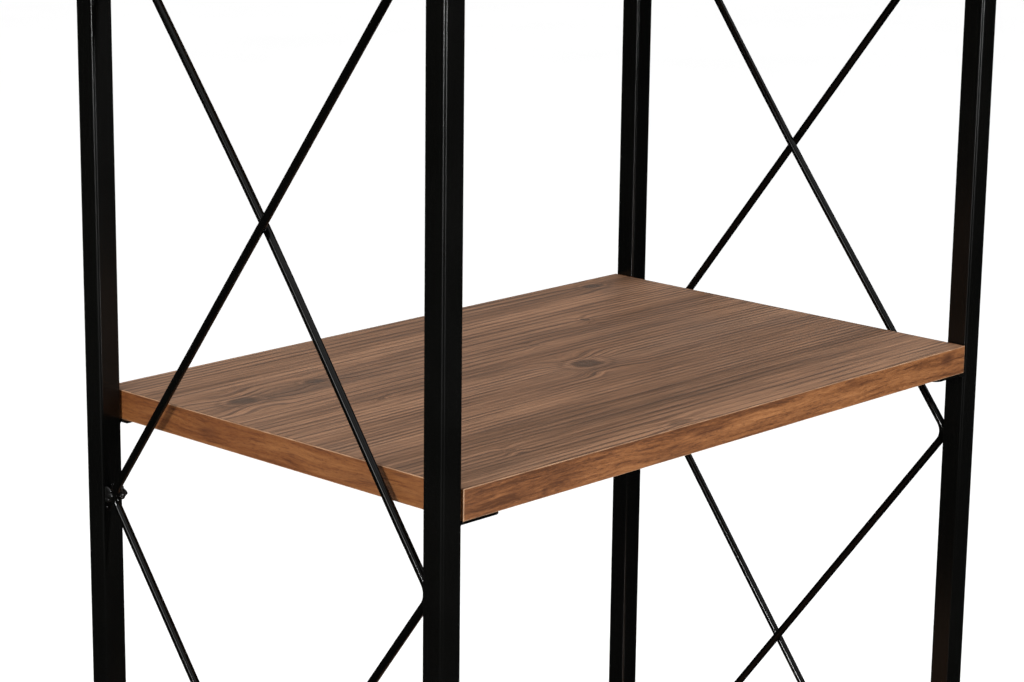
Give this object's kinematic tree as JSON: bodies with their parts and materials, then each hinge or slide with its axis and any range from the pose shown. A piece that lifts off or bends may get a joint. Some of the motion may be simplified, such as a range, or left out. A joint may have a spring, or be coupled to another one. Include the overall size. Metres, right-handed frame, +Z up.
{
  "type": "bookcase",
  "caption": "Open bookcase: wood-look boards between black square-tube side frames braced by crossed wires, on small screw-in levelling feet.",
  "frame": {"origin": "on the floor, under the middle of the bookcase", "axes": "+X along the boards to the right, -Y towards the front, +Z up"},
  "size_m": [0.493, 0.301, 1.52],
  "materials": {
    "powder_coat": "satin black powder coat",
    "laminate": "matt wood-grain printed laminate on chipboard",
    "edge_band": "wood-grain printed edge band",
    "black_plastic": "moulded, matt",
    "plated_steel": "zinc plated"
  },
  "bodies": {
    "bookcase": {"post_front_left": "powder_coat", "post_front_right": "powder_coat", "post_rear_left": "powder_coat", "post_rear_right": "powder_coat", "brace_wire_left_outer": "powder_coat", "brace_wire_left_inner": "powder_coat", "brace_wire_right_outer": "powder_coat", "brace_wire_right_inner": "powder_coat", "welds_left": "powder_coat", "welds_right": "powder_coat", "post_caps": "black_plastic", "foot_inserts": "black_plastic", "shelf_1_board": "laminate", "shelf_1_edge_bands": "edge_band", "shelf_1_tabs": "powder_coat", "shelf_1_screws": "plated_steel", "shelf_2_board": "laminate", "shelf_2_edge_bands": "edge_band", "shelf_2_tabs": "powder_coat", "shelf_2_screws": "plated_steel", "shelf_3_board": "laminate", "shelf_3_edge_bands": "edge_band", "shelf_3_tabs": "powder_coat", "shelf_3_screws": "plated_steel", "shelf_4_board": "laminate", "shelf_4_edge_bands": "edge_band", "shelf_4_tabs": "powder_coat", "shelf_4_screws": "plated_steel", "shelf_5_board": "laminate", "shelf_5_edge_bands": "edge_band", "shelf_5_tabs": "powder_coat", "shelf_5_screws": "plated_steel"},
    "foot_front_left": {"foot_front_left_stud": "plated_steel", "foot_front_left_pad": "black_plastic"},
    "foot_front_right": {"foot_front_right_stud": "plated_steel", "foot_front_right_pad": "black_plastic"},
    "foot_rear_left": {"foot_rear_left_stud": "plated_steel", "foot_rear_left_pad": "black_plastic"},
    "foot_rear_right": {"foot_rear_right_stud": "plated_steel", "foot_rear_right_pad": "black_plastic"}
  },
  "joints": [
    {"name": "foot_front_left_height", "type": "slide", "parent": "bookcase", "child": "foot_front_left", "axis": [0, 0, -1], "range_m": [0, 0.008]},
    {"name": "foot_front_right_height", "type": "slide", "parent": "bookcase", "child": "foot_front_right", "axis": [0, 0, -1], "range_m": [0, 0.008]},
    {"name": "foot_rear_left_height", "type": "slide", "parent": "bookcase", "child": "foot_rear_left", "axis": [0, 0, -1], "range_m": [0, 0.008]},
    {"name": "foot_rear_right_height", "type": "slide", "parent": "bookcase", "child": "foot_rear_right", "axis": [0, 0, -1], "range_m": [0, 0.008]}
  ]
}
